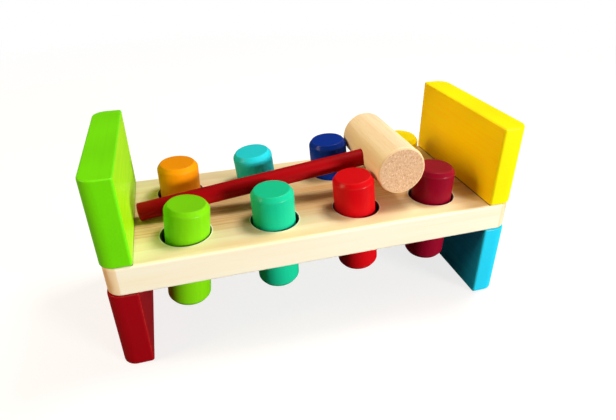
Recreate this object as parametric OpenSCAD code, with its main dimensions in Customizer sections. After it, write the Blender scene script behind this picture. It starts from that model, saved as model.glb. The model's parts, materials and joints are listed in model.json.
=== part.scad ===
/* [Bench] */
// Overall length of the bench
bench_l = 247; // [220:1:300]
// Overall width of the bench
bench_w = 100; // [92:1:130]
// Thickness of the deck
deck_t = 18.5; // [16:0.5:22]
// Thickness of the end blocks and of the legs
block_t = 17; // [14:0.5:22]
// Height of the end blocks above the deck
block_h = 51; // [44:1:70]
// Height of the legs below the deck
leg_h = 51; // [46:1:70]
// Radius of the upright corners at the ends of the bench
outer_corner_r = 8; // [4:0.5:10]
// Radius of the upright corners beside the deck's open middle
inner_corner_r = 1.6; // [1.2:0.1:3]
// Rounding of the other edges of the blocks and legs
block_ease = 1.1; // [0.4:0.1:1.1]
// Rounding of the deck's long edges and end edges
deck_ease = 1.8; // [0.4:0.1:2]
// How far the deck's ends stay behind the ends of the blocks and legs
deck_inset = 0.8; // [0:0.1:2]

/* [Holes] */
// Distance from an end block to the centres of the nearest holes
end_margin = 28.5; // [24:0.5:36]
// Distance between the two rows of holes
row_pitch = 51; // [46:0.5:60]
// Difference between the diameters of a hole and its peg
hole_gap = 2.5; // [2.5:0.1:4]
// Chamfer round the rim of a hole
hole_chamfer = 0.5; // [0.2:0.1:1]

/* [Pegs] */
// Diameter of a peg
peg_d = 25.5; // [21:0.5:27]
// Length of a peg
peg_l = 64; // [58:0.5:67]
// Width of the bevel round both ends of a peg
bevel_w = 2.1; // [1.5:0.1:3]
// Height of the bevel round both ends of a peg
bevel_h = 2.8; // [2.2:0.1:4]
// Radius that softens both corners of the bevel
bevel_round = 2.5; // [1:0.1:2.8]

/* [Peg heights] */
// Height of the green peg's top above the deck
green_up = 19; // [4:0.5:28]
// Height of the teal peg's top above the deck
teal_up = 20.5; // [4:0.5:28]
// Height of the red peg's top above the deck
red_up = 22; // [4:0.5:28]
// Height of the crimson peg's top above the deck
crimson_up = 20.5; // [4:0.5:28]
// Height of the orange peg's top above the deck
orange_up = 21; // [4:0.5:28]
// Height of the cyan peg's top above the deck
cyan_up = 23; // [4:0.5:28]
// Height of the blue peg's top above the deck
blue_up = 25; // [4:0.5:28]
// Height of the yellow peg's top above the deck
yellow_up = 21; // [4:0.5:28]

/* [Peg leans] */
// Lean of the green peg along the bench, in degrees
green_lean = 5.5; // [-6:0.5:6]
// Lean of the teal peg along the bench, in degrees
teal_lean = -2; // [-6:0.5:6]
// Lean of the red peg along the bench, in degrees
red_lean = -5.5; // [-6:0.5:6]
// Lean of the crimson peg along the bench, in degrees
crimson_lean = 1; // [-6:0.5:6]
// Lean of the orange peg along the bench, in degrees
orange_lean = 1; // [-6:0.5:6]
// Lean of the cyan peg along the bench, in degrees
cyan_lean = -6; // [-6:0.5:6]
// Lean of the blue peg along the bench, in degrees
blue_lean = -5; // [-6:0.5:6]
// Lean of the yellow peg along the bench, in degrees
yellow_lean = 0; // [-6:0.5:6]

/* [Grip rings] */
// Height of a rubber grip ring
ring_h = 4; // [3:0.1:6]
// Depth of the groove that holds a ring in the wall of its hole
groove_depth = 1.5; // [1:0.1:2]
// How far a ring's free bore is smaller than its peg, on the radius
ring_squeeze = 0.5; // [0.3:0.1:0.8]

/* [Mallet] */
// Diameter of the mallet's head
head_d = 30.5; // [28:0.1:36]
// Length of the mallet's head
head_l = 63.5; // [56:0.5:70]
// Rounding of the rims of the head
head_ease = 1.5; // [0.8:0.1:3]
// Diameter of the mallet's handle
handle_d = 10.6; // [9:0.1:12]
// Rounding of the free end of the handle
handle_ease = 0.8; // [0.4:0.1:2]
// Distance by which the handle sits in front of the middle of the head
handle_offset = 2; // [0:0.5:6]
// Depth of the handle's socket in the head
socket_depth = 20; // [14:0.5:24]
// Distance from the left end block to the handle's free end
handle_end_gap = 4; // [2:0.5:20]

/* [Dowels] */
// Diameter of a dowel that ties a block, the deck and a leg together
dowel_d = 8; // [6:0.5:10]
// Length of a dowel inside a block or a leg
dowel_reach = 20; // [12:0.5:30]
// Distance from the bench's long side to a dowel
dowel_inset = 22; // [16:0.5:30]

/* [Clearances] */
// Glue line round a dowel, round a ring and in the mallet's socket
glue_gap = 0.1; // [0.05:0.01:0.2]
// Running clearance between a peg and its ring
run_gap = 0.05; // [0.02:0.01:0.1]
// Gap between the lying mallet and what carries it
rest_gap = 0.2; // [0.15:0.05:0.5]

/* [Hidden] */
// Share of the free room between the rows by which the handle lies towards the front
lie_share = 0.58;
// How far every cut runs past the face it opens
overrun = 1;
$fn = 96;

deck_z = leg_h;
deck_l = bench_l - 2 * deck_inset;
deck_mid_z = deck_z + deck_t / 2;
deck_top_z = deck_z + deck_t;
inner_x = bench_l / 2 - block_t;

hole_d = peg_d + hole_gap;
peg_r = peg_d / 2;
hole_r = hole_d / 2;
columns = 4;
column_pitch = 2 * (inner_x - end_margin) / (columns - 1);
groove_r = hole_r + groove_depth;

// A peg is [column, row, height above the deck, lean]
green = [0, -1, green_up, green_lean];
teal = [1, -1, teal_up, teal_lean];
red = [2, -1, red_up, red_lean];
crimson = [3, -1, crimson_up, crimson_lean];
orange = [0, 1, orange_up, orange_lean];
cyan = [1, 1, cyan_up, cyan_lean];
blue = [2, 1, blue_up, blue_lean];
yellow = [3, 1, yellow_up, yellow_lean];

function column_x(peg) = (peg[0] - (columns - 1) / 2) * column_pitch;
function row_y(peg) = peg[1] * row_pitch / 2;
function peg_top(peg) = deck_t / 2 + peg[2];

// The bevel's slope, and how far its rounded corners reach along their two sides
bevel_way = [-bevel_w, bevel_h] / norm([bevel_w, bevel_h]);
bevel_turn = atan2(bevel_w, bevel_h);
low_tangent = bevel_round * tan(bevel_turn / 2);
high_tangent = bevel_round * tan((90 - bevel_turn) / 2);
shoulder_drop = bevel_h + low_tangent;

// The mallet's head lies in the gap between the last two columns of pegs, on the rounded
// shoulders where their sides meet their bevels. A shoulder is [x, z], the centre of that
// rounding on the side that faces the head.
head_r = head_d / 2;
handle_r = handle_d / 2;
seat_r = head_r + rest_gap + bevel_round;

function shoulder(peg, side) =
    let (along = peg_top(peg) - shoulder_drop, out = side * (peg_r - bevel_round), lean = peg[3])
    [
        column_x(peg) + along * sin(lean) + out * cos(lean),
        deck_mid_z + along * cos(lean) - out * sin(lean)
    ];

left_shoulders = [shoulder(red, 1), shoulder(blue, 1)];
right_shoulders = [shoulder(crimson, -1), shoulder(yellow, -1)];

// Centre of a circle of radius seat_r that lies on two points
function lie_on(left, right) =
    let (
        across = right - left,
        span = norm(across),
        rise = sqrt(max(0, pow(seat_r, 2) - pow(span / 2, 2)))
    )
    (left + right) / 2 + rise / span * [-across[1], across[0]];

// Lowest height of the head's axis, at x, that keeps it clear of a shoulder
function clear_z(point, x) =
    point[1] + sqrt(max(0, pow(seat_r, 2) - pow(point[0] - x, 2)));

head_x = lie_on(left_shoulders[1], right_shoulders[1])[0];
head_z = max(concat(
    [deck_top_z + head_r + rest_gap],
    [for (point = concat(left_shoulders, right_shoulders)) clear_z(point, head_x)]
));
mallet_y = -lie_share * (row_pitch / 2 - peg_r - handle_r);

// The handle slopes down from the head until the low edge of its free end meets the deck
foot_run = head_x + inner_x - handle_end_gap;
foot_rise = head_z - deck_top_z - rest_gap;
foot_reach = norm([foot_run, foot_rise]);
mallet_slope = atan2(foot_rise, foot_run) - asin(handle_r / foot_reach);
handle_reach = sqrt(pow(foot_reach, 2) - pow(handle_r, 2));
socket_bottom = socket_depth - head_r;

// Half of a board's section, from its middle at zero to its eased edge at reach
module edge_section(reach, height, ease) {
    intersection() {
        union() {
            translate([0, ease])
                square([reach, height - 2 * ease]);
            square([reach - ease, height]);
            for (z = [ease, height - ease])
                translate([reach - ease, z])
                    circle(ease);
        }
        square([reach, height]);
    }
}

// Both halves of that section
module board_section(width, height, ease) {
    for (side = [0, 1])
        mirror([side, 0])
            edge_section(width / 2, height, ease);
}

// Bar across the end of a board, as thick as its two rounded corners
module end_bar(width, height, corner_r, ease) {
    translate([0, width / 2 - corner_r, 0])
        rotate([90, 0, 0])
            linear_extrude(width - 2 * corner_r)
                board_section(2 * corner_r, height, ease);
    for (side = [-1, 1])
        translate([0, side * (width / 2 - corner_r), 0])
            rotate_extrude()
                edge_section(corner_r, height, ease);
}

// Board that runs along x from zero, with its own corner radius at each end
module board(length, width, height, near_r, far_r, ease) {
    translate([near_r, 0, 0]) {
        end_bar(width, height, near_r, ease);
        rotate([90, 0, 90])
            linear_extrude(length - near_r - far_r)
                board_section(width, height, ease);
    }
    translate([length - far_r, 0, 0])
        end_bar(width, height, far_r, ease);
}

// Block of one end of the bench, with its bottom at zero and its rounded side outwards
module end_block(side, height) {
    mirror([side > 0 ? 0 : 1, 0, 0])
        translate([inner_x, 0, 0])
            board(block_t, bench_w, height, inner_corner_r, outer_corner_r, block_ease);
}

// A dowel through the deck into the block and leg of one end, larger by gap for its hole
module dowel_rod(side, row, gap) {
    rod_x = side * (inner_x + block_t / 2);
    rod_y = row * (bench_w / 2 - dowel_inset);
    reach = dowel_reach + gap;
    translate([rod_x, rod_y, deck_z - reach])
        cylinder(h = deck_t + 2 * reach, r = dowel_d / 2 + gap);
}

// Holes of both dowels of one end, with room for glue
module dowel_holes(side) {
    for (row = [-1, 1])
        dowel_rod(side, row, glue_gap);
}

// Frame of a peg: its axis is upright before it leans, and crosses the deck's middle at zero
module at_peg(peg) {
    translate([column_x(peg), row_y(peg), deck_mid_z])
        rotate([0, peg[3], 0])
            children();
}

// Section of a peg's upper half, from its axis to its side, with a soft bevel at the end
module half_peg_section() {
    half_l = peg_l / 2;
    polygon([
        [0, 0],
        [peg_r, 0],
        [peg_r, half_l - shoulder_drop],
        [peg_r, half_l - bevel_h] + low_tangent * bevel_way,
        [peg_r - bevel_w, half_l] - high_tangent * bevel_way,
        [peg_r - bevel_w - high_tangent, half_l],
        [0, half_l]
    ]);
    translate([peg_r - bevel_round, half_l - shoulder_drop])
        circle(bevel_round);
    translate([peg_r - bevel_w - high_tangent, half_l - bevel_round])
        circle(bevel_round);
}

module peg_body(peg) {
    at_peg(peg)
        translate([0, 0, peg_top(peg) - peg_l / 2])
            rotate_extrude()
                for (end = [0, 1])
                    mirror([0, end])
                        half_peg_section();
}

// Rubber ring in its groove, its bore stretched round the peg and leaning with it
module grip_ring(peg) {
    difference() {
        translate([column_x(peg), row_y(peg), deck_mid_z - ring_h / 2])
            difference() {
                cylinder(h = ring_h, r = groove_r - glue_gap);
                translate([0, 0, -overrun])
                    cylinder(h = ring_h + 2 * overrun, r = peg_r - ring_squeeze);
            }
        at_peg(peg)
            cylinder(h = deck_t, r = peg_r + run_gap, center = true);
    }
}

// Hole of a peg through the deck, with its ring's groove and its chamfered rims
module peg_hole(peg) {
    flare = hole_chamfer + overrun;
    translate([column_x(peg), row_y(peg), deck_mid_z]) {
        cylinder(h = deck_t + 2 * overrun, r = hole_r, center = true);
        cylinder(h = ring_h + 2 * glue_gap, r = groove_r, center = true);
        for (side = [0, 1])
            mirror([0, 0, side])
                translate([0, 0, deck_t / 2 - hole_chamfer])
                    cylinder(h = flare, r1 = hole_r, r2 = hole_r + flare);
    }
}

// Frame of the lying mallet: its head along y, its handle along negative x
module at_mallet() {
    translate([head_x, mallet_y, head_z])
        rotate([0, -mallet_slope, 0])
            children();
}

module deck() {
    color("wheat")
        difference() {
            translate([-deck_l / 2, 0, deck_z])
                board(deck_l, bench_w, deck_t, outer_corner_r, outer_corner_r, deck_ease);
            for (peg = [green, teal, red, crimson, orange, cyan, blue, yellow])
                peg_hole(peg);
            for (side = [-1, 1])
                dowel_holes(side);
        }
}

module left_upper_block() {
    color("limegreen")
        difference() {
            translate([0, 0, deck_top_z])
                end_block(-1, block_h);
            dowel_holes(-1);
        }
}

module right_upper_block() {
    color("yellow")
        difference() {
            translate([0, 0, deck_top_z])
                end_block(1, block_h);
            dowel_holes(1);
        }
}

module left_leg() {
    color("firebrick")
        difference() {
            end_block(-1, leg_h);
            dowel_holes(-1);
        }
}

module right_leg() {
    color("deepskyblue")
        difference() {
            end_block(1, leg_h);
            dowel_holes(1);
        }
}

module left_front_dowel() {
    color("burlywood")
        dowel_rod(-1, -1, 0);
}

module left_back_dowel() {
    color("burlywood")
        dowel_rod(-1, 1, 0);
}

module right_front_dowel() {
    color("burlywood")
        dowel_rod(1, -1, 0);
}

module right_back_dowel() {
    color("burlywood")
        dowel_rod(1, 1, 0);
}

module green_peg() { color("limegreen") peg_body(green); }
module teal_peg() { color("mediumaquamarine") peg_body(teal); }
module red_peg() { color("red") peg_body(red); }
module crimson_peg() { color("crimson") peg_body(crimson); }
module orange_peg() { color("darkorange") peg_body(orange); }
module cyan_peg() { color("darkturquoise") peg_body(cyan); }
module blue_peg() { color("mediumblue") peg_body(blue); }
module yellow_peg() { color("gold") peg_body(yellow); }

module green_peg_ring() { color("dimgray") grip_ring(green); }
module teal_peg_ring() { color("dimgray") grip_ring(teal); }
module red_peg_ring() { color("dimgray") grip_ring(red); }
module crimson_peg_ring() { color("dimgray") grip_ring(crimson); }
module orange_peg_ring() { color("dimgray") grip_ring(orange); }
module cyan_peg_ring() { color("dimgray") grip_ring(cyan); }
module blue_peg_ring() { color("dimgray") grip_ring(blue); }
module yellow_peg_ring() { color("dimgray") grip_ring(yellow); }

module mallet_head() {
    color("tan")
        at_mallet()
            difference() {
                translate([0, handle_offset, 0])
                    rotate([90, 0, 0])
                        rotate_extrude()
                            head_section();
                rotate([0, -90, 0])
                    translate([0, 0, -socket_bottom - glue_gap])
                        cylinder(h = socket_depth + glue_gap + overrun, r = handle_r + glue_gap);
            }
}

// Half section of the head, from its axis to its side, with both rims rounded
module head_section() {
    translate([0, head_ease - head_l / 2])
        square([head_r, head_l - 2 * head_ease]);
    translate([0, -head_l / 2])
        square([head_r - head_ease, head_l]);
    for (end = [-1, 1])
        translate([head_r - head_ease, end * (head_l / 2 - head_ease)])
            circle(head_ease);
}

module mallet_handle() {
    color("red")
        at_mallet()
            rotate([0, -90, 0])
                translate([0, 0, -socket_bottom])
                    rotate_extrude()
                        handle_section();
}

// Half section of the handle, from the bottom of its socket to its rounded free end
module handle_section() {
    length = handle_reach + socket_bottom;
    square([handle_r, length - handle_ease]);
    square([handle_r - handle_ease, length]);
    translate([handle_r - handle_ease, length - handle_ease])
        circle(handle_ease);
}

deck();
left_upper_block();
right_upper_block();
left_leg();
right_leg();
left_front_dowel();
left_back_dowel();
right_front_dowel();
right_back_dowel();
green_peg();
teal_peg();
red_peg();
crimson_peg();
orange_peg();
cyan_peg();
blue_peg();
yellow_peg();
green_peg_ring();
teal_peg_ring();
red_peg_ring();
crimson_peg_ring();
orange_peg_ring();
cyan_peg_ring();
blue_peg_ring();
yellow_peg_ring();
mallet_head();
mallet_handle();
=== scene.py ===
import json
import math

import bmesh
import bpy
from mathutils import Matrix, Vector

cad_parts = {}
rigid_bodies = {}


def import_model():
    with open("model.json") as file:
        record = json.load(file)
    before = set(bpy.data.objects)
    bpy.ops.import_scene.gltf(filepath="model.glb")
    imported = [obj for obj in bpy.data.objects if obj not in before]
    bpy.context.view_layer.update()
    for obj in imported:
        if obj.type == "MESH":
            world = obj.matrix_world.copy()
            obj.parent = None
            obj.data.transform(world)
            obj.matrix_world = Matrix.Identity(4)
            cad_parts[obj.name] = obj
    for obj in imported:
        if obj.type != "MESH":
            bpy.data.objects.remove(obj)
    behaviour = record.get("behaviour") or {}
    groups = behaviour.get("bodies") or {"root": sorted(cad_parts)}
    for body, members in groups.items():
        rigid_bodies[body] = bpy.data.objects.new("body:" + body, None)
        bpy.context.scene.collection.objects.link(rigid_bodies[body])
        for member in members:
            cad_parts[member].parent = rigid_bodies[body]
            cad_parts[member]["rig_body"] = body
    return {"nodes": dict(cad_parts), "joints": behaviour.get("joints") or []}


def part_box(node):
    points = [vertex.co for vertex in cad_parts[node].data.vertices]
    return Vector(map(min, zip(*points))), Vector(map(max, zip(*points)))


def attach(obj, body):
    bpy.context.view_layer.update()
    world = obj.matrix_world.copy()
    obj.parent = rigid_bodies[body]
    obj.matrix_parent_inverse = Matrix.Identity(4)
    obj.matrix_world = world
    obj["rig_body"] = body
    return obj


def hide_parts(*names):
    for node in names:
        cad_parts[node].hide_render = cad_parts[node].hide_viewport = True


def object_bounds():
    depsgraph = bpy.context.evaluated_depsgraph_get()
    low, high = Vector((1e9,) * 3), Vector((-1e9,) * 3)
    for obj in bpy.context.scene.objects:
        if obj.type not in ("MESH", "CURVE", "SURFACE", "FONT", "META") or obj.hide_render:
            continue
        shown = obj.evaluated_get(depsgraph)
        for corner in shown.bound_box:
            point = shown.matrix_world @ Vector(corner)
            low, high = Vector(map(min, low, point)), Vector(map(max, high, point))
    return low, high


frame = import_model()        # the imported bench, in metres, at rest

cadLow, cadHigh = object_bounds()
nodes = frame["nodes"]
mm = 0.001


# colours are written as a paint chart gives them, 0 to 255
def chart(red, green, blue):
    parts = [value / 255 for value in (red, green, blue)]
    linear = [p / 12.92 if p <= 0.04045 else ((p + 0.055) / 1.055) ** 2.4 for p in parts]
    return (*linear, 1.0)


def blendColours(first, second, share):
    return tuple(a + (b - a) * share for a, b in zip(first, second))


def shadeColour(colour, level):
    return (*(level * part for part in colour[:3]), 1.0)


# camera
shot = {
    "eye": (-0.0743, -0.2723, 0.2253),
    "aim": (0.0087, 0.0007, 0.0595),
    "roll": 0.11,                   # degrees
    "lens": 28.685,
    "shift": (-0.0154, -0.0104),
}
bpy.ops.object.select_all(action="DESELECT")
bpy.ops.object.camera_add(location=shot["eye"])
camera = bpy.context.object
lookAlong = Vector(shot["aim"]) - Vector(shot["eye"])
camera.rotation_euler = lookAlong.to_track_quat("-Z", "Y").to_euler()
camera.rotation_euler.rotate_axis("Z", math.radians(shot["roll"]))
camera.data.lens = shot["lens"]
camera.data.shift_x, camera.data.shift_y = shot["shift"]
camera.data.clip_start = 0.01
bpy.context.scene.camera = camera
bpy.context.scene.view_settings.view_transform = "Standard"
print("camera at", shot["eye"])


# a wire is one output socket, and sums on wires add Math nodes
class Wire:
    def __init__(self, tree, socket):
        self.tree = tree
        self.socket = socket

    def node(self, kind, settings=None, sockets=None, out=0):
        made = self.tree.nodes.new(kind)
        for key, value in (settings or {}).items():
            setattr(made, key, value)
        for key, value in (sockets or {}).items():
            if isinstance(value, Wire):
                self.tree.links.new(value.socket, made.inputs[key])
            else:
                made.inputs[key].default_value = value
        return Wire(self.tree, made.outputs[out]) if made.outputs else None

    def math(self, operation, *values):
        return self.node("ShaderNodeMath", {"operation": operation}, dict(enumerate(values)))

    def __add__(self, other):
        return self.math("ADD", self, other)

    def __sub__(self, other):
        return self.math("SUBTRACT", self, other)

    def __rsub__(self, other):
        return self.math("SUBTRACT", other, self)

    def __mul__(self, other):
        return self.math("MULTIPLY", self, other)

    def __truediv__(self, other):
        return self.math("DIVIDE", self, other)

    def __abs__(self):
        return self.math("ABSOLUTE", self)

    __radd__ = __add__
    __rmul__ = __mul__

    def least(self, other):
        return self.math("MINIMUM", self, other)

    def most(self, other):
        return self.math("MAXIMUM", self, other)

    def fraction(self):
        return self.math("FRACT", self)

    def nearest(self):
        return self.math("ROUND", self)

    # smooth 0 to 1 between two values
    def rise(self, low, high):
        return self.node(
            "ShaderNodeMapRange",
            {"interpolation_type": "SMOOTHSTEP"},
            {"Value": self, "From Min": low, "From Max": high},
        )

    def length(self):
        return self.node("ShaderNodeVectorMath", {"operation": "LENGTH"}, {0: self}, out="Value")

    def along(self, axis):
        settings = {"operation": "DOT_PRODUCT"}
        return self.node("ShaderNodeVectorMath", settings, {0: self, 1: axis}, out="Value")

    def stretch(self, x, y, z):
        return self.node("ShaderNodeVectorMath", {"operation": "MULTIPLY"}, {0: self, 1: (x, y, z)})

    def split(self):
        apart = self.node("ShaderNodeSeparateXYZ", None, {0: self})
        return [Wire(self.tree, socket) for socket in apart.socket.node.outputs]

    # length of the flat vector that this wire makes with another
    def flatLength(self, other):
        return self.node("ShaderNodeCombineXYZ", None, {0: self, 1: other}).length()

    # coordinates in mm about a piece's centre, with z along its grain
    def place(self, centre, turn):
        return self.node(
            "ShaderNodeMapping",
            {"vector_type": "TEXTURE"},
            {"Vector": self, "Location": centre, "Rotation": turn, "Scale": (mm, mm, mm)},
        )

    def noise(self, scale, detail=2.0, roughness=0.5):
        return self.node(
            "ShaderNodeTexNoise",
            None,
            {"Vector": self, "Scale": scale, "Detail": detail, "Roughness": roughness},
        )

    # this wire chooses between two colours
    def pick(self, first, second):
        sockets = {0: self, 6: first, 7: second}        # a Mix node's own numbers for colours
        return self.node("ShaderNodeMix", {"data_type": "RGBA"}, sockets, out=2)

    # this wire as a height makes a bumpy normal, on top of another where there is one
    def bump(self, strength, distance, under=None):
        sockets = {"Strength": strength, "Distance": distance, "Height": self}
        if under:
            sockets["Normal"] = under
        return self.node("ShaderNodeBump", None, sockets)


def newMaterial(name):
    material = bpy.data.materials.new(name)
    material.use_nodes = True
    tree = material.node_tree
    tree.nodes.clear()
    coordinates = tree.nodes.new("ShaderNodeTexCoord")
    point = Wire(tree, coordinates.outputs["Object"])
    normal = Wire(tree, coordinates.outputs["Normal"])
    return material, point, normal


def finishMaterial(point, sockets):
    surface = point.node("ShaderNodeBsdfPrincipled", None, sockets)
    point.node("ShaderNodeOutputMaterial", None, {"Surface": surface})


def grainTurn(axis):
    return Vector(axis).to_track_quat("Z", "Y").to_euler()


# growth rings about a pith line along the grain: 0 in the pale early wood, 1 in the dark late wood
def growthRings(local, pith, ringWidth, wander):
    drift = local.stretch(0.03, 0.03, 0.006).noise(1.0, detail=2.0)
    x, y, z = local.split()
    fromPith = (x - pith[0]).flatLength(y - pith[1])
    turn = ((fromPith + drift * wander) / ringWidth).fraction()
    return turn.rise(0.2, 0.85) * (1 - turn.rise(0.86, 1.0))


def fibres(local, across, along):
    return local.stretch(across, across, along).noise(1.0, detail=4.0, roughness=0.6)


# satin paint over wood
paint = {
    "fibresAcross": 0.8,            # per mm
    "fibresAlong": 0.02,
    "patches": 0.03,
    "deep": 0.93,                   # the darkest and palest paint, as shares of its colour
    "full": 1.03,
    "sunk": 0.96,                   # paint that has sunk into end grain
    "sunkShow": 0.8,
    "sunkRough": 0.08,
    "thinWidth": 0.8,               # mm of thin paint beside an edge
    "ragged": 1.0,                  # mm by which that edge wanders
    "boardThin": 0.13,              # how much of the wood shows there
    "rodThin": 0.02,
    "faceLightShow": 0.6,                # how far the inner face goes towards its tone of painted light or shade
    "bareWood": chart(250, 228, 180),
    "shine": 0.06,
    "rough": 0.52,
    "roughSpread": 0.12,
    "coat": 0.1,
    "coatRough": 0.12,
    "grainBump": 0.022 * mm,
    "peel": 0.5,
    "peelBump": 0.008 * mm,
}


def paintedWood(name, colour, centre, turn, edgeGap, thinShow, endAxis=None, faceLightTone=None):
    material, point, normal = newMaterial(name)
    local = point.place(centre, turn)
    streaks = fibres(local, paint["fibresAcross"], paint["fibresAlong"])
    patches = local.noise(paint["patches"], detail=2.0)
    tone = (0.4 * streaks + 0.6 * patches).rise(0.3, 0.7)
    body = tone.pick(shadeColour(colour, paint["deep"]), shadeColour(colour, paint["full"]))
    roughness = paint["rough"] + paint["roughSpread"] * (0.6 * streaks + 0.4 * patches - 0.5)
    if endAxis:
        ends = abs(normal.along(endAxis)).rise(0.9, 0.99)
        body = (paint["sunkShow"] * ends).pick(body, shadeColour(colour, paint["sunk"]))
        roughness = roughness + paint["sunkRough"] * ends
    # the inner face takes a tone of its own, painted light or shade for how light falls on that face
    if faceLightTone:
        axis, litShadedColour = faceLightTone
        faceLightMask = normal.along(axis).rise(0.9, 0.99) * (0.6 + 0.4 * streaks.rise(0.35, 0.65))
        body = (paint["faceLightShow"] * faceLightMask).pick(body, litShadedColour)
    ragged = edgeGap(local) + paint["ragged"] * (local.noise(0.7, detail=3.0) - 0.5)
    thin = (1 - ragged.rise(0.0, paint["thinWidth"])) * thinShow
    skin = thin.pick(body, blendColours(colour, paint["bareWood"], 0.5))
    peelNormal = local.noise(paint["peel"], detail=2.0).bump(0.6, paint["peelBump"])
    finishMaterial(point, {
        "Base Color": skin,
        "Roughness": roughness,
        "Specular IOR Level": paint["shine"],
        "Coat Weight": paint["coat"],
        "Coat Roughness": paint["coatRough"],
        "Normal": streaks.bump(0.6, paint["grainBump"], peelNormal),
    })
    return material


# distance in mm from the nearest edge of a board,
# which is the middle one of its three distances to the faces
def boardEdgeGap(half):
    def gap(local):
        gaps = [size / mm - abs(part) for size, part in zip(half, local.split())]
        low = gaps[0].least(gaps[1]).least(gaps[2])
        high = gaps[0].most(gaps[1]).most(gaps[2])
        return gaps[0] + gaps[1] + gaps[2] - low - high
    return gap


# distance in mm from the two corners of a bevel at a rod's end
def rodEdgeGap(radius, halfLength, bevelWidth, bevelHeight):
    def gap(local):
        x, y, z = local.split()
        fromSide = (radius / mm - x.flatLength(y)) / (bevelWidth / mm)
        fromEnd = (halfLength / mm - abs(z)) / (bevelHeight / mm)
        return abs(fromSide.most(fromEnd) - 1) * (bevelHeight / mm)
    return gap


# pine of the deck: warm on its faces, paler on its sawn edges, tan on its end grain
pine = {
    "facePale": chart(253, 239, 198),
    "faceTan": chart(244, 210, 152),
    "edgePale": chart(252, 245, 222),
    "edgeTan": chart(247, 228, 184),
    "endPale": chart(250, 226, 184),
    "endTan": chart(234, 194, 140),
    # brown of the middle band, heartwood tone and painted shade between the peg rows
    "heartAndShade": chart(210, 150, 80),
    "heartShadeAt": (-6, 34),            # mm behind the deck's middle line, and half width
    # dark brown of the painted shade in the seams
    "seamShade": chart(70, 44, 22),
    # a painted highlight along the hole rims
    "rimHighlight": chart(254, 247, 230),
    # painted shade inside the drilled holes
    "holeWallShade": chart(52, 32, 16),
    "pith": (46, 9),                # mm below and behind the deck's middle
    "ringWidth": 8.5,
    "wander": 15,
    "ringShow": 0.34,               # how far rings, fibres and broad bands go towards tan
    "fibreShow": 0.22,
    "bandShow": 0.4,
    "endShow": 0.85,
    "seamShadeShow": 0.85,
    "rimHighlightShow": 0.85,
    "wallShadeShow": 0.95,
    "rough": 0.46,
    "roughSpread": 0.14,
    "endRough": 0.1,
    "shine": 0.2,
    "coat": 0.08,
    "coatRough": 0.2,
    "grainBump": 0.025 * mm,
}


def pineWood(name, centre, holes, seamShade):
    material, point, normal = newMaterial(name)
    local = point.place(centre, grainTurn((1, 0, 0)))
    rings = growthRings(local, pine["pith"], pine["ringWidth"], pine["wander"])
    fine = fibres(local, 1.4, 0.025)
    broad = local.stretch(0.08, 0.08, 0.006).noise(1.0, detail=3.0)
    dark = pine["ringShow"] * rings + pine["fibreShow"] * fine.rise(0.42, 0.78)
    dark = dark + pine["bandShow"] * broad.rise(0.42, 0.75)
    faces = abs(normal.along((0, 0, 1))).rise(0.55, 0.95)
    pale = faces.pick(pine["edgePale"], pine["facePale"])
    tan = faces.pick(pine["edgeTan"], pine["faceTan"])
    board = dark.pick(pale, tan)
    # a darker band runs along the middle of the faces: partly heartwood tone, partly painted shade
    # between the peg rows and under the mallet
    along, across, up = point.place(centre, (0, 0, 0)).split()
    shadeBandMiddle, shadeBandHalf = pine["heartShadeAt"]
    heartAndShade = 1 - (abs(across - shadeBandMiddle) + 16 * (broad - 0.5)).rise(0.3 * shadeBandHalf, shadeBandHalf)
    board = (faces * heartAndShade * (0.5 + 0.45 * fine.rise(0.35, 0.7))).pick(board, pine["heartAndShade"])
    # the rounded ends show end grain
    ends = abs(normal.along((1, 0, 0))).rise(0.03, 0.16)
    speckle = local.noise(1.2, detail=3.0)
    endWood = (0.6 * rings + 0.5 * speckle).pick(pine["endPale"], pine["endTan"])
    board = (pine["endShow"] * ends).pick(board, endWood)
    # the holes get a painted highlight on their rims and painted shade on their drilled walls, and
    # repeat from column to column
    x, y, z = point.place(holes["first"], (0, 0, 0)).split()
    pitch = holes["pitch"] / mm
    row = holes["row"] / mm
    radius = holes["radius"] / mm
    column = x - pitch * (x / pitch).nearest().most(0).least(holes["columns"] - 1)
    fromHole = column.flatLength(abs(y - row) - row)
    rim = 1 - fromHole.rise(radius + 0.9, radius + 1.5)
    # painted shade on the hole walls and the inner edge of the chamfer
    wallShadeMask = 1 - fromHole.rise(radius + 0.4, radius + 0.7)
    # painted shade darkens the seams under the blocks and over the legs
    edge = abs(along).rise(seamShade["from"] / mm - 0.3, seamShade["from"] / mm + 0.3)
    edge = edge * abs(up).rise(seamShade["half"] / mm - 0.4, seamShade["half"] / mm - 0.1)
    board = (pine["seamShadeShow"] * edge).pick(board, pine["seamShade"])
    board = (pine["rimHighlightShow"] * rim).pick(board, pine["rimHighlight"])
    board = (pine["wallShadeShow"] * wallShadeMask).pick(board, pine["holeWallShade"])
    finishMaterial(point, {
        "Base Color": board,
        "Roughness": pine["rough"] + pine["roughSpread"] * (fine - 0.5) + pine["endRough"] * ends,
        "Specular IOR Level": pine["shine"],
        "Coat Weight": pine["coat"],
        "Coat Roughness": pine["coatRough"],
        "Normal": (fine + 0.6 * rings).bump(0.6, pine["grainBump"]),
    })
    return material


# beech of the mallet's head, with short ray flecks and a speckled end
beech = {
    "pale": chart(248, 231, 194),
    "tan": chart(226, 184, 124),
    "fleck": chart(190, 140, 90),
    "end": chart(216, 176, 138),
    "endDark": chart(172, 116, 82),
    "endPale": chart(250, 228, 200),
    # tan of the rounded rim, a painted shade over the light that it catches
    "rim": chart(222, 180, 128),
    "pith": (60, 22),
    "ringWidth": 7.5,
    "shine": 0.15,
    "rough": 0.5,
    "grainBump": 0.025 * mm,
}


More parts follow.
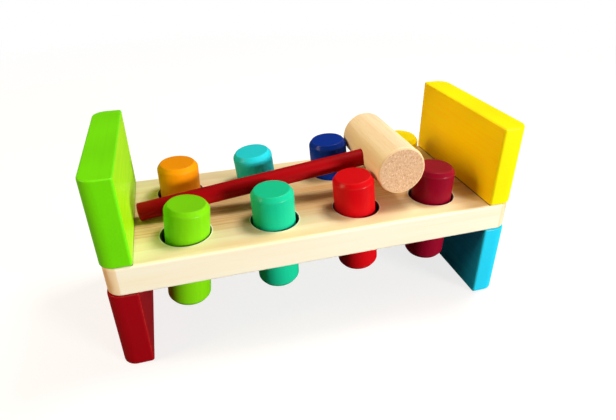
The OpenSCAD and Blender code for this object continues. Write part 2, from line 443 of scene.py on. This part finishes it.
def beechWood(name, centre, axis):
    material, point, normal = newMaterial(name)
    local = point.place(centre, grainTurn(axis))
    rings = growthRings(local, beech["pith"], beech["ringWidth"], 6)
    fine = fibres(local, 1.5, 0.04)
    flecks = local.stretch(2.4, 2.4, 0.4).noise(1.0, detail=2.0).rise(0.6, 0.74)
    side = (0.16 * rings + 0.34 * fine.rise(0.35, 0.8)).pick(beech["pale"], beech["tan"])
    side = (0.22 * flecks).pick(side, beech["fleck"])
    # the flat ends are speckled with cut pores and rays, and end in a rounded rim toned tan: painted
    # shade that dulls the light the rim catches
    pores = local.stretch(1.3, 0.8, 0.2).noise(1.0, detail=4.0, roughness=0.65)
    rays = local.stretch(1.2, 0.5, 0.2).noise(1.1, detail=4.0, roughness=0.65)
    face = (0.6 * pores.rise(0.5, 0.64)).pick(beech["end"], beech["endDark"])
    face = (0.6 * rays.rise(0.52, 0.66)).pick(face, beech["endPale"])
    facing = abs(normal.along(tuple(axis)))
    ends = facing.rise(0.95, 0.985)
    rim = 0.6 * facing.rise(0.3, 0.8)
    wood = ends.pick(rim.pick(side, beech["rim"]), face)
    finishMaterial(point, {
        "Base Color": wood,
        "Roughness": beech["rough"] + 0.12 * (fine - 0.5) + 0.12 * ends,
        "Specular IOR Level": beech["shine"],
        "Normal": (fine + 0.5 * flecks + 0.6 * ends * pores).bump(0.6, beech["grainBump"]),
    })
    return material


# black rubber of the grip rings
rubber = {
    "black": chart(14, 14, 15),
    "dusty": chart(34, 33, 32),
    "grit": 2600,                   # per metre
    "clouds": 180,
    "rough": 0.62,
    "roughSpread": 0.2,
    "shine": 0.35,
    "gritBump": 0.02 * mm,
}


def rubberSkin(name):
    material, point, normal = newMaterial(name)
    grit = point.noise(rubber["grit"], detail=2.0)
    clouds = point.noise(rubber["clouds"], detail=2.0)
    finishMaterial(point, {
        "Base Color": clouds.pick(rubber["black"], rubber["dusty"]),
        "Roughness": rubber["rough"] + rubber["roughSpread"] * grit,
        "Specular IOR Level": rubber["shine"],
        "Normal": grit.bump(0.5, rubber["gritBump"]),
    })
    return material


# bare wood of the joining dowels
dowelStock = {
    "pale": chart(238, 208, 156),
    "tan": chart(196, 148, 90),
    "pith": (30, 5),
    "ringWidth": 3.0,
    "wander": 4,
    "rough": 0.55,
    "roughSpread": 0.15,
    "shine": 0.35,
    "grainBump": 0.03 * mm,
}


def dowelWood(name):
    material, point, normal = newMaterial(name)
    local = point.place((0, 0, 0), (0, 0, 0))
    fine = fibres(local, 1.8, 0.05)
    rings = growthRings(local, dowelStock["pith"], dowelStock["ringWidth"], dowelStock["wander"])
    finishMaterial(point, {
        "Base Color": (0.4 * rings + 0.5 * fine).pick(dowelStock["pale"], dowelStock["tan"]),
        "Roughness": dowelStock["rough"] + dowelStock["roughSpread"] * (fine - 0.5),
        "Specular IOR Level": dowelStock["shine"],
        "Normal": fine.bump(0.5, dowelStock["grainBump"]),
    })
    return material


def startClean():
    if bpy.context.object and bpy.context.object.mode != "OBJECT":
        bpy.ops.object.mode_set(mode="OBJECT")
    bpy.ops.object.select_all(action="DESELECT")


def makeActive(piece):
    startClean()
    piece.select_set(True)
    bpy.context.view_layer.objects.active = piece


def applyPlace():
    bpy.ops.object.transform_apply(location=True, rotation=True, scale=True)


def selectEdges(piece, test):
    bpy.ops.mesh.select_mode(type="EDGE")
    bpy.ops.mesh.select_all(action="DESELECT")
    shape = bmesh.from_edit_mesh(piece.data)
    for edge in shape.edges:
        if test(*(corner.co for corner in edge.verts)):
            edge.select_set(True)
    bmesh.update_edit_mesh(piece.data)


def applyModifier(piece, kind, settings):
    makeActive(piece)
    bpy.ops.object.modifier_add(type=kind)
    modifier = piece.modifiers[-1]
    for key, value in settings.items():
        setattr(modifier, key, value)
    bpy.ops.object.modifier_apply(modifier=modifier.name)


def cutWith(piece, tool):
    applyModifier(piece, "BOOLEAN", {"operation": "DIFFERENCE", "solver": "EXACT", "object": tool})
    bpy.data.objects.remove(tool)


smoothBelow = math.radians(32)      # sharper edges than this stay sharp


def smoothSkin(piece):
    makeActive(piece)
    bpy.ops.object.shade_smooth_by_angle(angle=smoothBelow)
    applyModifier(piece, "WEIGHTED_NORMAL", {"keep_sharp": True})


# a new piece takes a CAD node's place on its body
def settle(piece, node, slot, material):
    piece.data.materials.clear()
    piece.data.materials.append(material)
    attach(piece, nodes[node]["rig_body"])
    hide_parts(node)


def boxMiddle(node):
    low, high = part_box(node)
    return (low + high) / 2


# a board starts as a cube, gets its upright corners rounded and then its rims eased
boardSteps = {"corner": 14, "rim": 5}


def makeBoard(name, node, corners, ease):
    low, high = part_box(node)
    startClean()
    bpy.ops.mesh.primitive_cube_add(size=1, location=(low + high) / 2)
    board = bpy.context.object
    board.name = board.data.name = name
    board.scale = high - low
    applyPlace()
    middleX = (low.x + high.x) / 2
    bpy.ops.object.mode_set(mode="EDIT")
    for side, radius in corners.items():
        selectEdges(board, lambda a, b: abs(a.z - b.z) > ease and (a.x - middleX) * side > 0)
        bpy.ops.mesh.bevel(offset=radius, segments=boardSteps["corner"], affect="EDGES")
    selectEdges(board, lambda a, b: abs(a.z - b.z) < ease / 10)
    bpy.ops.mesh.bevel(offset=ease, segments=boardSteps["rim"], affect="EDGES")
    bpy.ops.object.mode_set(mode="OBJECT")
    return board


# points of a turned profile as (radius, height), with its corners rounded
def softProfile(points, roundings, steps):
    points = [Vector(point) for point in points]
    soft = [points[0]]
    for before, corner, after, rounding in zip(points, points[1:], points[2:], roundings):
        back = (before - corner).normalized()
        ahead = (after - corner).normalized()
        half = back.angle(ahead) / 2
        reach = rounding / math.tan(half)
        middle = corner + (back + ahead).normalized() * rounding / math.sin(half)
        start = corner + back * reach - middle
        sweep = start.angle_signed(corner + ahead * reach - middle)
        for step in range(steps + 1):
            soft.append(middle + Matrix.Rotation(-sweep * step / steps, 2) @ start)
    return soft + [points[-1]]


# a rod is pulled up ring by ring from a disc, as on a lathe
def turnRod(name, profile, sides):
    startClean()
    bpy.ops.mesh.primitive_circle_add(
        vertices=sides, radius=profile[0].x, fill_type="NGON", location=(0, 0, profile[0].y)
    )
    rod = bpy.context.object
    rod.name = rod.data.name = name
    applyPlace()
    bpy.ops.object.mode_set(mode="EDIT")
    bpy.ops.mesh.select_mode(type="FACE")
    bpy.ops.mesh.select_all(action="SELECT")
    for before, after in zip(profile, profile[1:]):
        lift = {"value": (0, 0, after.y - before.y)}
        grow = after.x / before.x
        bpy.ops.mesh.extrude_region_move(TRANSFORM_OT_translate=lift)
        bpy.ops.transform.resize(value=(grow, grow, 1), center_override=(0, 0, after.y))
    bpy.ops.mesh.select_all(action="SELECT")
    bpy.ops.mesh.normals_make_consistent(inside=False)
    bpy.ops.object.mode_set(mode="OBJECT")
    return rod


def standRod(rod, centre, axis):
    makeActive(rod)
    turn = Vector(axis).to_track_quat("Z", "Y").to_matrix().to_4x4()
    rod.matrix_world = Matrix.Translation(centre) @ turn
    applyPlace()


def makeDrill(name, radius, half, sides, centre, axis):
    drill = turnRod(name, [Vector((radius, -half)), Vector((radius, half))], sides)
    standRod(drill, centre, axis)
    return drill


# half length and radius of a CAD rod about its own axis
def measureRod(node, axis):
    middle = boxMiddle(node)
    points = [vertex.co - middle for vertex in nodes[node].data.vertices]
    halfLength = max(abs(point.dot(axis)) for point in points)
    radius = max((point - axis * point.dot(axis)).length for point in points)
    return middle, halfLength, radius


pegColours = {
    "green": chart(122, 208, 10),
    "teal": chart(20, 196, 148),
    "red": chart(202, 2, 14),
    "crimson": chart(136, 0, 34),
    "orange": chart(250, 150, 4),
    "cyan": chart(34, 204, 220),
    "blue": chart(0, 46, 150),
    "yellow": chart(252, 230, 2),
}

# deck: an eased pine board, drilled for the pegs and the dowels
deckMake = {
    "cornerRound": 8 * mm,
    "ease": 1.8 * mm,
    "holeRadius": 14 * mm,
    "rimRound": 0.7 * mm,
    "grooveDepth": 1.5 * mm,
    "grooveHeight": 4.2 * mm,
    "overrun": 1 * mm,
    "glueGap": 0.1 * mm,
    "rimSteps": 5,
    "holeSides": 96,
    "dowelSides": 48,
}
deckLow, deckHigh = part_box("deck")
deckHalf = (deckHigh.z - deckLow.z) / 2
holeMiddles = {colour: boxMiddle(colour + "_peg_ring") for colour in pegColours}
dowelNodes = [name for name in nodes if name.endswith("_dowel")]


def holeCutter():
    radius = deckMake["holeRadius"]
    rim = deckMake["rimRound"]
    groove = radius + deckMake["grooveDepth"]
    lip = deckMake["grooveHeight"] / 2
    end = deckHalf + deckMake["overrun"]
    steps = deckMake["rimSteps"]
    flare = [
        (radius + rim * (1 - math.sin(turn)), deckHalf - rim * (1 - math.cos(turn)))
        for turn in (math.radians(90 * step / steps) for step in range(steps + 1))
    ]
    upper = [(radius, lip), (groove, lip), (groove, 0)]
    above = [(radius + rim, end)] + flare + upper
    below = [(reach, -height) for reach, height in reversed(above[:-1])]
    line = [Vector(point) for point in reversed(above + below)]
    return turnRod("holeCutter", line, deckMake["holeSides"])


def dowelCutter(node):
    low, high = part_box(node)
    half = (high.z - low.z) / 2 + deckMake["glueGap"]
    radius = (high.x - low.x) / 2 + deckMake["glueGap"]
    return makeDrill("dowelCutter", radius, half, deckMake["dowelSides"], boxMiddle(node), (0, 0, 1))


deckCorners = {-1: deckMake["cornerRound"], 1: deckMake["cornerRound"]}
deck = makeBoard("pineDeck", "deck", deckCorners, deckMake["ease"])
for colour, middle in holeMiddles.items():
    cutter = holeCutter()
    standRod(cutter, middle, (0, 0, 1))
    cutWith(deck, cutter)
for node in dowelNodes:
    cutWith(deck, dowelCutter(node))
smoothSkin(deck)
holeGrid = {
    "first": holeMiddles["green"],
    "pitch": holeMiddles["teal"].x - holeMiddles["green"].x,
    "columns": len(holeMiddles) // 2,
    "row": (holeMiddles["orange"].y - holeMiddles["green"].y) / 2,
    "radius": deckMake["holeRadius"],
}
seamShadeAt = {"from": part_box("right_leg")[0].x, "half": deckHalf}
settle(deck, "deck", "pine", pineWood("pineWood", (deckLow + deckHigh) / 2, holeGrid, seamShadeAt))
print("deck:", len(deck.data.polygons), "faces,", len(holeMiddles), "peg holes")

# end blocks and legs: painted boards, rounded more at the bench's ends
endMake = {
    "outerRound": 8 * mm,
    "innerRound": 1.6 * mm,
    "ease": 1.1 * mm,
    # node, slot, colour, and the inner face's tone of painted light or shade
    "boards": {
        "greenBlock": ("left_upper_block", "green_paint", chart(110, 220, 6), chart(206, 240, 20)),
        "yellowBlock": ("right_upper_block", "yellow_paint", chart(255, 238, 0), chart(255, 196, 0)),
        "redLeg": ("left_leg", "red_paint", chart(150, 2, 14), chart(160, 6, 20)),
        "blueLeg": ("right_leg", "blue_paint", chart(34, 206, 242), chart(12, 136, 218)),
    },
}
for name, (node, slot, colour, innerLightShade) in endMake["boards"].items():
    middle = boxMiddle(node)
    side = 1 if middle.x > 0 else -1
    corners = {side: endMake["outerRound"], -side: endMake["innerRound"]}
    board = makeBoard(name, node, corners, endMake["ease"])
    for dowel in dowelNodes:
        if boxMiddle(dowel).x * side > 0:
            cutWith(board, dowelCutter(dowel))
    smoothSkin(board)
    low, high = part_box(node)
    turn = grainTurn((0, 1, 0))
    half = [abs(part) for part in turn.to_matrix().transposed() @ ((high - low) / 2)]
    coat = paintedWood(
        name + "Paint", colour, middle, turn, boardEdgeGap(half), paint["boardThin"],
        faceLightTone=((-side, 0, 0), innerLightShade),
    )
    settle(board, node, slot, coat)
print("end boards:", len(endMake["boards"]))

# pegs: one is turned, and each hole gets a copy that leans as its joint does
pegMake = {
    "bevelWidth": 2.1 * mm,
    "bevelHeight": 2.8 * mm,
    "topRound": 1.1 * mm,
    "shoulderRound": 2.5 * mm,
    "roundSteps": 5,
    "sides": 96,
}
slideAxis = {joint["child"]: Vector(joint["axis"]).normalized() for joint in frame["joints"]}
middle, pegHalf, pegRadius = measureRod("green_peg", slideAxis["green_peg"])
flat = pegRadius - pegMake["bevelWidth"]
shoulder = pegHalf - pegMake["bevelHeight"]
pegLine = softProfile(
    [(flat / 2, -pegHalf), (flat, -pegHalf), (pegRadius, -shoulder),
     (pegRadius, shoulder), (flat, pegHalf), (flat / 2, pegHalf)],
    [pegMake["topRound"], pegMake["shoulderRound"], pegMake["shoulderRound"], pegMake["topRound"]],
    pegMake["roundSteps"],
)
firstPeg = turnRod("turnedPeg", pegLine, pegMake["sides"])
smoothSkin(firstPeg)
for colour in pegColours:
    node = colour + "_peg"
    axis = slideAxis[node]
    makeActive(firstPeg)
    bpy.ops.object.duplicate(linked=False)
    peg = bpy.context.object
    peg.name = peg.data.name = colour + "Peg"
    standRod(peg, boxMiddle(node), axis)
    gap = rodEdgeGap(pegRadius, pegHalf, pegMake["bevelWidth"], pegMake["bevelHeight"])
    coat = paintedWood(
        colour + "PegPaint", pegColours[colour], boxMiddle(node), grainTurn(axis),
        gap, paint["rodThin"], endAxis=tuple(axis),
    )
    settle(peg, node, node + "_paint", coat)
bpy.data.objects.remove(firstPeg)
print("pegs:", len(pegColours), "of", round(2 * pegRadius / mm, 1), "mm")

# mallet: a turned head with a socket, and its handle
malletMake = {
    "headRound": 1.5 * mm,
    "handleRound": 0.8 * mm,
    "socketGap": 0.1 * mm,
    "red": chart(158, 0, 8),
    "headSteps": 6,
    "handleSteps": 5,
    "headSides": 128,
    "handleSides": 64,
}
headAxis = Vector((0, 1, 0))
headMiddle, headHalf, headRadius = measureRod("mallet_head", headAxis)
handleFrom = boxMiddle("mallet_handle")
handleTo = Vector((headMiddle.x, handleFrom.y, headMiddle.z))
handleAxis = (handleTo - handleFrom).normalized()
handleMiddle, handleHalf, handleRadius = measureRod("mallet_handle", handleAxis)
headLine = softProfile(
    [(headRadius / 2, -headHalf), (headRadius, -headHalf),
     (headRadius, headHalf), (headRadius / 2, headHalf)],
    [malletMake["headRound"]] * 2,
    malletMake["headSteps"],
)
head = turnRod("malletHead", headLine, malletMake["headSides"])
standRod(head, headMiddle, headAxis)
socketRadius = handleRadius + malletMake["socketGap"]
socketHalf = handleHalf + malletMake["socketGap"]
cutWith(head, makeDrill(
    "socketCutter", socketRadius, socketHalf, malletMake["handleSides"], handleMiddle, handleAxis
))
smoothSkin(head)
settle(head, "mallet_head", "beech", beechWood("beechWood", headMiddle, headAxis))

handleLine = softProfile(
    [(handleRadius / 2, -handleHalf), (handleRadius, -handleHalf), (handleRadius, 0)],
    [malletMake["handleRound"]],
    malletMake["handleSteps"],
)
handleLine += [Vector((handleRadius, handleHalf)), Vector((handleRadius / 2, handleHalf))]
handle = turnRod("malletHandle", handleLine, malletMake["handleSides"])
standRod(handle, handleMiddle, handleAxis)
smoothSkin(handle)
gap = rodEdgeGap(handleRadius, handleHalf, malletMake["handleRound"], malletMake["handleRound"])
coat = paintedWood(
    "handlePaint", malletMake["red"], handleMiddle, grainTurn(handleAxis), gap, paint["rodThin"],
    endAxis=tuple(handleAxis),
)
settle(handle, "mallet_handle", "handle_paint", coat)
headWidth, handleWidth = (round(2 * radius / mm, 1) for radius in (headRadius, handleRadius))
print("mallet: head", headWidth, "mm, handle", handleWidth, "mm")

# grip rings and dowels keep their own shapes
ringRubber = rubberSkin("ringRubber")
bareDowel = dowelWood("bareDowel")
for name, node in nodes.items():
    if name.endswith("_ring"):
        node.material_slots[0].material = ringRubber
    elif name in dowelNodes:
        node.material_slots[0].material = bareDowel
print("rings and dowels dressed")

# lamps, each placed by the direction that it shines from: level 1 lights white to white
lamps = {
    "key": {
        "from": (0.62, -0.77, 0.14),
        "far": 2.0,
        "size": (0.55, 0.4),
        "level": 1.16,
        "tint": (1.0, 0.99, 0.96),
    },
    "top": {
        "from": (0.42, 0.14, 0.9),
        "far": 1.1,
        "size": (0.35, 0.35),
        "level": 0.72,
        "tint": (1.0, 0.98, 0.93),
    },
    "fill": {
        "from": (-0.87, -0.04, 0.46),
        "far": 1.2,
        "size": (0.5, 0.4),
        "level": 0.64,
        "tint": (1.0, 0.73, 0.48),
    },
}
stageMiddle = (cadLow + cadHigh) / 2
for name, lamp in lamps.items():
    towards = Vector(lamp["from"]).normalized()
    startClean()
    bpy.ops.object.light_add(type="AREA", location=stageMiddle + towards * lamp["far"])
    light = bpy.context.object
    light.name = name
    light.rotation_euler = towards.to_track_quat("Z", "Y").to_euler()
    light.data.shape = "RECTANGLE"
    light.data.size, light.data.size_y = lamp["size"]
    light.data.color = lamp["tint"]
    light.data.energy = lamp["level"] * (math.pi * lamp["far"]) ** 2

# the room is white to the eye and faint in reflections
# as a light it is dim at its sides and brighter overhead
room = {
    "sides": 0.04,
    "overhead": 0.2,
    "tint": (1.0, 0.76, 0.5, 1.0),
    "mirrored": 0.04,
    "floor": 0.14,
    "shadowShow": 0.3,              # the floor's shaded share, the rest is white of its own
    "floorWhite": 0.78,
    "nearWhite": 0.3,               # metres from the middle at which it turns all white
    "farWhite": 1.0,
    "floorSize": 12,
}
pureWhite = (1, 1, 1, 1)


def seenDirectly(wire):
    path = wire.node("ShaderNodeLightPath")
    outputs = path.socket.node.outputs
    names = ("Is Camera Ray", "Is Glossy Ray", "Is Transmission Ray")
    direct, mirrored, through = (Wire(wire.tree, outputs[name]) for name in names)
    return direct.most(room["mirrored"] * mirrored).most(through)


world = bpy.data.worlds.new("paleRoom")
bpy.context.scene.world = world
world.use_nodes = True
world.node_tree.nodes.clear()
sky = Wire(world.node_tree, None)
seen = seenDirectly(sky)
height = sky.node("ShaderNodeTexCoord", out="Generated").along((0, 0, 1)).most(0.0)
dim = room["sides"] + (room["overhead"] - room["sides"]) * height
air = sky.node("ShaderNodeBackground", None, {
    "Color": seen.pick(room["tint"], pureWhite),
    "Strength": dim + (1 - dim) * seen,
})
sky.node("ShaderNodeOutputWorld", None, {"Surface": air})

startClean()
bpy.ops.mesh.primitive_plane_add(size=room["floorSize"])
floor = bpy.context.object
floor.name = "paleFloor"
floorSkin, point, normal = newMaterial("paleFloor")
plain = point.node("ShaderNodeBsdfDiffuse", None, {"Color": (room["floor"],) * 3 + (1,)})
shaded = point.node("ShaderNodeBsdfDiffuse", None, {"Color": (room["shadowShow"],) * 3 + (1,)})
glow = point.node("ShaderNodeEmission", None, {"Color": pureWhite, "Strength": room["floorWhite"]})
white = point.node("ShaderNodeEmission", None, {"Color": pureWhite})
near = point.node("ShaderNodeAddShader", None, {0: shaded, 1: glow})
away = point.length().rise(room["nearWhite"], room["farWhite"])
shown = point.node("ShaderNodeMixShader", None, {0: away, 1: near, 2: white})
both = point.node("ShaderNodeMixShader", None, {0: seenDirectly(point), 1: plain, 2: shown})
point.node("ShaderNodeOutputMaterial", None, {"Surface": both})
floor.data.materials.append(floorSkin)
print("lamps:", len(lamps))
